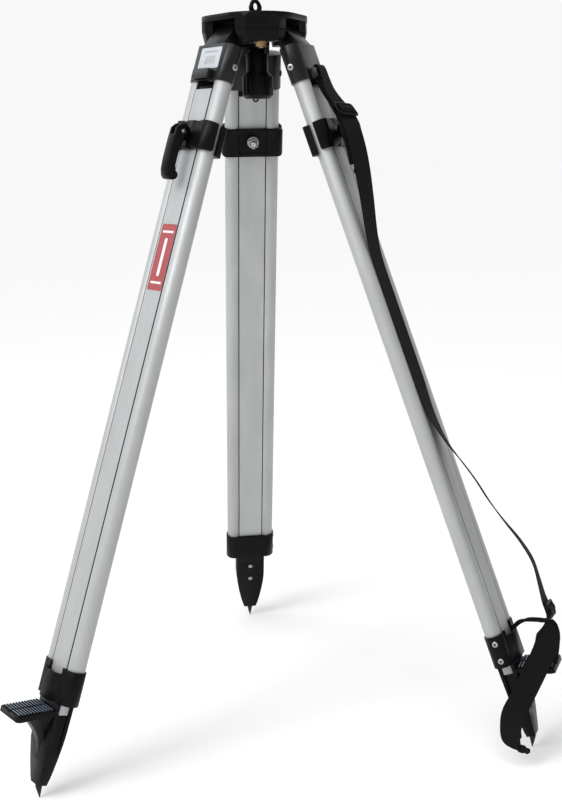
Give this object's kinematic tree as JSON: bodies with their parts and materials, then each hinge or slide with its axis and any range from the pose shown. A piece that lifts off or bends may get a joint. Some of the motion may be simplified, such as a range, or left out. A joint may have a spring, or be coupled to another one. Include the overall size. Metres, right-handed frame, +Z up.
{
  "type": "surveyor tripod",
  "caption": "Surveyor's tripod with a flat round-cornered head, telescoping aluminium legs with quick clamps, step feet and a carry strap.",
  "frame": {"origin": "on the tripod's vertical axis, on the ground plane that the three spikes stand on", "axes": "+Z up; the rear leg stands towards +Y, the left and right legs towards 210 and 330 degrees; the pictured front looks along +Y"},
  "size_m": [0.7612, 0.6884, 1.0258],
  "materials": {
    "aluminium": "satin anodised",
    "black_casting": "die-cast aluminium, black powder coat",
    "black_plastic": "moulded, fine grain",
    "steel": "zinc plated",
    "brass": "turned",
    "webbing": "woven webbing"
  },
  "bodies": {
    "head": {"head_plate": "black_casting", "hinge_cap_front": "black_casting", "hinge_cap_left": "black_casting", "hinge_cap_right": "black_casting", "cap_bolt_front": "brass", "cap_bolt_left": "brass", "cap_bolt_right": "brass", "hinge_pin_rear": "steel", "hinge_pin_left": "steel", "hinge_pin_right": "steel"},
    "arm": {"centring_arm": "black_casting"},
    "screw": {"screw_stud": "brass", "screw_knob": "black_plastic", "plumb_hook": "steel", "stud_cap": "black_plastic"},
    "screw_carriage": {"retaining_ring": "steel"},
    "upper_leg_rear": {"shoulder_rear": "black_casting", "tube_a_rear": "aluminium", "tube_b_rear": "aluminium", "collar_rear": "black_plastic"},
    "lower_leg_rear": {"plank_rear": "aluminium", "plank_cap_rear": "black_plastic", "outer_jaw_rear": "black_plastic", "inner_jaw_rear": "black_plastic", "clamp_bolt_rear": "steel", "lever_pin_rear": "steel", "foot_rear": "black_casting", "spike_rear": "steel"},
    "lever_rear": {"clamp_lever_rear": "black_casting"},
    "upper_leg_left": {"shoulder_left": "black_casting", "tube_a_left": "aluminium", "tube_b_left": "aluminium", "collar_left": "black_plastic"},
    "lower_leg_left": {"plank_left": "aluminium", "plank_cap_left": "black_plastic", "outer_jaw_left": "black_plastic", "inner_jaw_left": "black_plastic", "clamp_bolt_left": "steel", "lever_pin_left": "steel", "foot_left": "black_casting", "spike_left": "steel"},
    "lever_left": {"clamp_lever_left": "black_casting"},
    "upper_leg_right": {"shoulder_right": "black_casting", "tube_a_right": "aluminium", "tube_b_right": "aluminium", "collar_right": "black_plastic", "carry_strap": "webbing", "slider_upper": "black_plastic", "slider_lower": "black_plastic", "tie_strap": "webbing", "tie_clip": "black_plastic"},
    "lower_leg_right": {"plank_right": "aluminium", "plank_cap_right": "black_plastic", "outer_jaw_right": "black_plastic", "inner_jaw_right": "black_plastic", "clamp_bolt_right": "steel", "lever_pin_right": "steel", "foot_right": "black_casting", "spike_right": "steel"},
    "lever_right": {"clamp_lever_right": "black_casting"}
  },
  "joints": [
    {"name": "arm_swing", "type": "hinge", "parent": "head", "child": "arm", "pos_m": [-0.04763, 0.0275, 0.98467], "axis": [0, 0, 1], "range_deg": [-11, 11]},
    {"name": "screw_slide", "type": "slide", "parent": "arm", "child": "screw_carriage", "axis": [-0.866, 0.5, 0], "range_m": [0, 0.013]},
    {"name": "screw_turn", "type": "hinge", "parent": "screw_carriage", "child": "screw", "pos_m": [0, 0, 0.96467], "axis": [0, 0, 1], "continuous": true},
    {"name": "splay_rear", "type": "hinge", "parent": "head", "child": "upper_leg_rear", "pos_m": [0, 0.041, 0.98467], "axis": [1, 0, 0], "range_deg": [-19.5, 10]},
    {"name": "extend_rear", "type": "slide", "parent": "upper_leg_rear", "child": "lower_leg_rear", "axis": [0, 0.3349, -0.9423], "range_m": [0, 0.64]},
    {"name": "clamp_rear", "type": "hinge", "parent": "lower_leg_rear", "child": "lever_rear", "pos_m": [0, 0.12766, 0.85522], "axis": [-1, 0, 0], "range_deg": [-90, 0]},
    {"name": "splay_left", "type": "hinge", "parent": "head", "child": "upper_leg_left", "pos_m": [-0.03551, -0.0205, 0.98467], "axis": [-0.5, 0.866, 0], "range_deg": [-19.5, 10]},
    {"name": "extend_left", "type": "slide", "parent": "upper_leg_left", "child": "lower_leg_left", "axis": [-0.29, -0.1675, -0.9423], "range_m": [0, 0.64]},
    {"name": "clamp_left", "type": "hinge", "parent": "lower_leg_left", "child": "lever_left", "pos_m": [-0.11056, -0.06383, 0.85522], "axis": [0.5, -0.866, 0], "range_deg": [-90, 0]},
    {"name": "splay_right", "type": "hinge", "parent": "head", "child": "upper_leg_right", "pos_m": [0.03551, -0.0205, 0.98467], "axis": [-0.5, -0.866, 0], "range_deg": [-19.5, 10]},
    {"name": "extend_right", "type": "slide", "parent": "upper_leg_right", "child": "lower_leg_right", "axis": [0.29, -0.1675, -0.9423], "range_m": [0, 0.64], "deforming": ["carry_strap", "slider_lower", "tie_strap"]},
    {"name": "clamp_right", "type": "hinge", "parent": "lower_leg_right", "child": "lever_right", "pos_m": [0.11056, -0.06383, 0.85522], "axis": [0.5, 0.866, 0], "range_deg": [-90, 0], "deforming": ["carry_strap"]}
  ]
}
